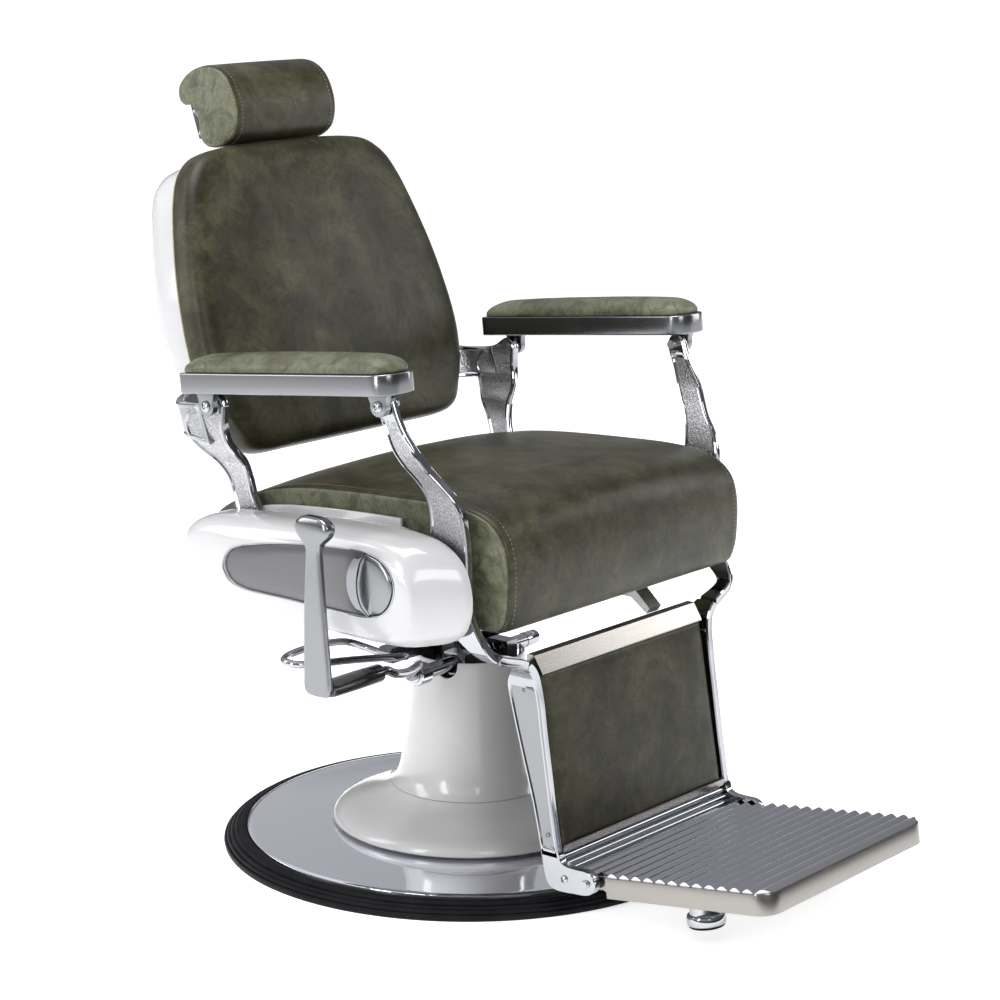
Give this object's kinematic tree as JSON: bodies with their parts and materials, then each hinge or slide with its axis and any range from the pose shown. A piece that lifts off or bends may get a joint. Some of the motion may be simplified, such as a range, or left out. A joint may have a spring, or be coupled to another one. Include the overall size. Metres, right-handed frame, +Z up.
{
  "type": "hydraulic barber chair",
  "caption": "Hydraulic barber chair with round base, foot pump column, reclining back, linked arms, leg rest, folding footrest and adjustable headrest.",
  "frame": {"origin": "centre of the round base on the floor", "axes": "+Z up, the sitter faces -Y, the sitter's left hand is on +X"},
  "size_m": [0.741, 1.0646, 1.0431],
  "materials": {
    "rubber": "matt moulded rubber",
    "chrome": "polished chrome plating",
    "cast_iron": "dark painted casting",
    "hammered_casting": "hammered casting with bright rims, plated",
    "arm_metal": "satin plated casting",
    "brushed_inset": "long brushed grain",
    "tread_steel": "ribbed stainless sheet",
    "plain_steel": "plain steel",
    "white_gloss": "glossy white shell",
    "bell_gloss": "glossy light grey cover",
    "black_plastic": "satin black",
    "olive_leather": "mottled olive upholstery with tan stitching"
  },
  "bodies": {
    "base": {"base_plate": "cast_iron", "base_ring": "rubber", "base_dish": "chrome", "column_flange": "bell_gloss", "swivel_spindle": "plain_steel"},
    "pump_unit": {"column_bell": "bell_gloss", "pump_cylinder": "cast_iron", "pump_head": "cast_iron", "release_shaft": "chrome", "lock_bracket": "cast_iron"},
    "pump_lever": {"pump_shaft": "chrome", "lever_rod": "chrome", "pump_pedal": "rubber", "lever_handle": "chrome", "lever_knob": "chrome"},
    "lock_lever": {"lock_loop": "chrome"},
    "seat": {"ram": "chrome", "saddle": "chrome", "seat_frame": "cast_iron", "leg_stop_strut": "plain_steel", "seat_cushion": "olive_leather", "seat_side_plate_left": "white_gloss", "seat_side_plate_right": "white_gloss", "rear_seat_pin_left": "plain_steel", "rear_seat_pin_right": "plain_steel", "front_seat_pin_left": "plain_steel", "front_seat_pin_right": "plain_steel", "pod_shell_left": "white_gloss", "pod_shell_right": "white_gloss", "pod_inset_left": "brushed_inset", "pod_inset_right": "brushed_inset"},
    "back": {"rear_post_left": "hammered_casting", "rear_post_right": "hammered_casting", "back_cushion": "olive_leather", "back_shell": "white_gloss", "headrest_socket": "black_plastic"},
    "headrest_carrier": {"headrest_bar": "chrome", "headrest_yoke": "black_plastic"},
    "headrest": {"headrest_tongue": "black_plastic", "headrest_bolster": "olive_leather"},
    "arm_left": {"arm_rail_left": "arm_metal", "arm_pad_left": "olive_leather", "arm_bolt_front_left": "chrome", "arm_bolt_rear_left": "chrome"},
    "arm_right": {"arm_rail_right": "arm_metal", "arm_pad_right": "olive_leather", "arm_bolt_front_right": "chrome", "arm_bolt_rear_right": "chrome"},
    "leg_rest": {"leg_casting_left": "hammered_casting", "leg_casting_right": "hammered_casting", "kick_board": "black_plastic", "kick_cushion": "olive_leather", "kick_trim": "chrome", "leg_cross_bar": "plain_steel"},
    "footrest": {"footrest_tray": "tread_steel", "footrest_tread": "tread_steel", "footrest_rod": "chrome", "footrest_foot_left": "rubber", "footrest_foot_right": "rubber"}
  },
  "joints": [
    {"name": "seat_swivel", "type": "hinge", "parent": "base", "child": "pump_unit", "pos_m": [0, 0, 0.08], "axis": [0, 0, 1], "continuous": true},
    {"name": "seat_lift", "type": "slide", "parent": "pump_unit", "child": "seat", "axis": [0, 0, 1], "range_m": [0, 0.12]},
    {"name": "pump_stroke", "type": "hinge", "parent": "pump_unit", "child": "pump_lever", "pos_m": [-0.08, -0.02, 0.261], "axis": [1, 0, 0], "range_deg": [0, 20], "stiffness_Nm_per_rad": 10, "springref_deg": -17.19},
    {"name": "lock_stroke", "type": "hinge", "parent": "pump_unit", "child": "lock_lever", "pos_m": [-0.126, 0.035, 0.2785], "axis": [0, 1, 0], "range_deg": [-12, 0], "stiffness_Nm_per_rad": 3, "springref_deg": 17.19},
    {"name": "back_recline", "type": "hinge", "parent": "seat", "child": "back", "pos_m": [0, 0.125, 0.4], "axis": [-1, 0, 0], "range_deg": [0, 40]},
    {"name": "leg_swing", "type": "hinge", "parent": "seat", "child": "leg_rest", "pos_m": [0, -0.174, 0.435], "axis": [-1, 0, 0], "range_deg": [0, 40]},
    {"name": "arm_left_pivot", "type": "hinge", "parent": "back", "child": "arm_left", "pos_m": [0.304, 0.175, 0.627], "axis": [-1, 0, 0], "range_deg": [-40, 0]},
    {"name": "arm_right_pivot", "type": "hinge", "parent": "back", "child": "arm_right", "pos_m": [-0.304, 0.175, 0.627], "axis": [-1, 0, 0], "range_deg": [-40, 0]},
    {"name": "footrest_fold", "type": "hinge", "parent": "leg_rest", "child": "footrest", "pos_m": [0, -0.349, 0.061], "axis": [-1, 0, 0], "range_deg": [0, 85]},
    {"name": "headrest_height", "type": "slide", "parent": "back", "child": "headrest_carrier", "axis": [0, 0.3256, 0.9455], "range_m": [0, 0.09]},
    {"name": "headrest_tilt", "type": "hinge", "parent": "headrest_carrier", "child": "headrest", "pos_m": [0, 0.42039, 0.96176], "axis": [-1, 0, 0], "range_deg": [0, 28]}
  ],
  "couplings": [
    {"joint": "leg_swing", "follows": "back_recline", "ratio": 1},
    {"joint": "arm_left_pivot", "follows": "back_recline", "ratio": -1},
    {"joint": "arm_right_pivot", "follows": "back_recline", "ratio": -1}
  ]
}
